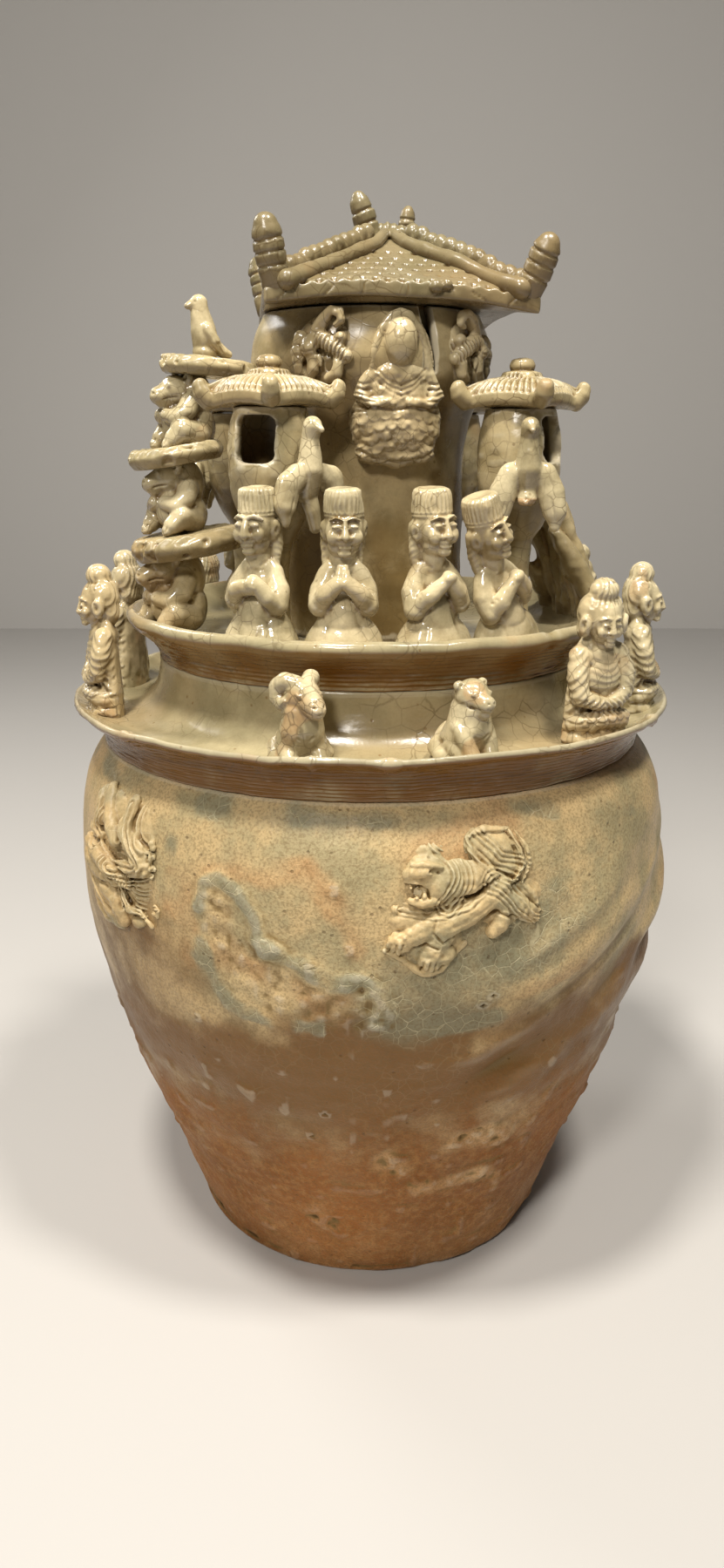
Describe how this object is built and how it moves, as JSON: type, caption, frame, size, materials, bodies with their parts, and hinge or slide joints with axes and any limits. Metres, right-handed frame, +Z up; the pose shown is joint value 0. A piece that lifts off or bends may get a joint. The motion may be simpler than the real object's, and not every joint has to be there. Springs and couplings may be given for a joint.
{
  "type": "hunping funerary jar",
  "caption": "Shouldered ceramic jar topped by flared dishes carrying kneeling and seated figures, animals, roofed turrets, a bear tower and a hip-roof lid that lifts off its hollow tower.",
  "frame": {"origin": "centre of the jar's flat foot, on the floor", "axes": "+Z up along the jar's axis, -Y is the pictured front, +X to the viewer's right"},
  "size_m": [0.282, 0.288, 0.478],
  "materials": {
    "jar_glaze": "olive-buff glaze running out to bare brown clay towards the foot",
    "dish_glaze": "glossy, crackled olive-buff glaze",
    "roof_glaze": "glossy, crackled olive-buff glaze",
    "tower_glaze": "glossy, crackled olive-buff glaze",
    "relief_glaze": "glossy, crackled olive-buff glaze",
    "figure_glaze": "glossy, crackled olive-buff glaze"
  },
  "bodies": {
    "jar": {"jar_body": "jar_glaze", "lower_dish": "dish_glaze", "upper_dish": "dish_glaze", "tower_column": "tower_glaze", "plaque_front": "figure_glaze", "plaque_back": "figure_glaze", "beast_left": "figure_glaze", "beast_right": "figure_glaze", "turret_jar_1": "tower_glaze", "turret_jar_2": "tower_glaze", "turret_jar_3": "tower_glaze", "turret_jar_4": "tower_glaze", "turret_roof_1": "tower_glaze", "turret_roof_2": "tower_glaze", "turret_roof_3": "tower_glaze", "turret_roof_4": "tower_glaze", "bird_1": "figure_glaze", "bird_2": "figure_glaze", "bird_3": "figure_glaze", "bird_4": "figure_glaze", "bear_low": "figure_glaze", "bear_middle": "figure_glaze", "bear_top": "figure_glaze", "slab_low": "tower_glaze", "slab_middle": "tower_glaze", "slab_top": "tower_glaze", "perched_bird": "figure_glaze", "rock_slab": "tower_glaze", "kneeler_1": "figure_glaze", "kneeler_2": "figure_glaze", "kneeler_3": "figure_glaze", "kneeler_4": "figure_glaze", "kneeler_5": "figure_glaze", "kneeler_6": "figure_glaze", "kneeler_7": "figure_glaze", "kneeler_8": "figure_glaze", "seated_1": "figure_glaze", "seated_2": "figure_glaze", "seated_3": "figure_glaze", "seated_4": "figure_glaze", "seated_5": "figure_glaze", "seated_6": "figure_glaze", "seated_7": "figure_glaze", "ram_1": "figure_glaze", "cub_1": "figure_glaze", "ram_2": "figure_glaze", "cub_2": "figure_glaze", "relief_1": "relief_glaze", "relief_2": "relief_glaze", "relief_3": "relief_glaze", "relief_4": "relief_glaze"},
    "roof_lid": {"roof_slab": "roof_glaze", "hip_rolls": "roof_glaze", "beaded_rolls": "roof_glaze", "corner_horns": "roof_glaze", "top_ridge": "roof_glaze", "top_horns": "roof_glaze", "eave_pellet": "roof_glaze"}
  },
  "joints": [
    {"name": "lid_lift", "type": "slide", "parent": "jar", "child": "roof_lid", "axis": [0, 0, 1], "range_m": [0, 0.08]}
  ]
}
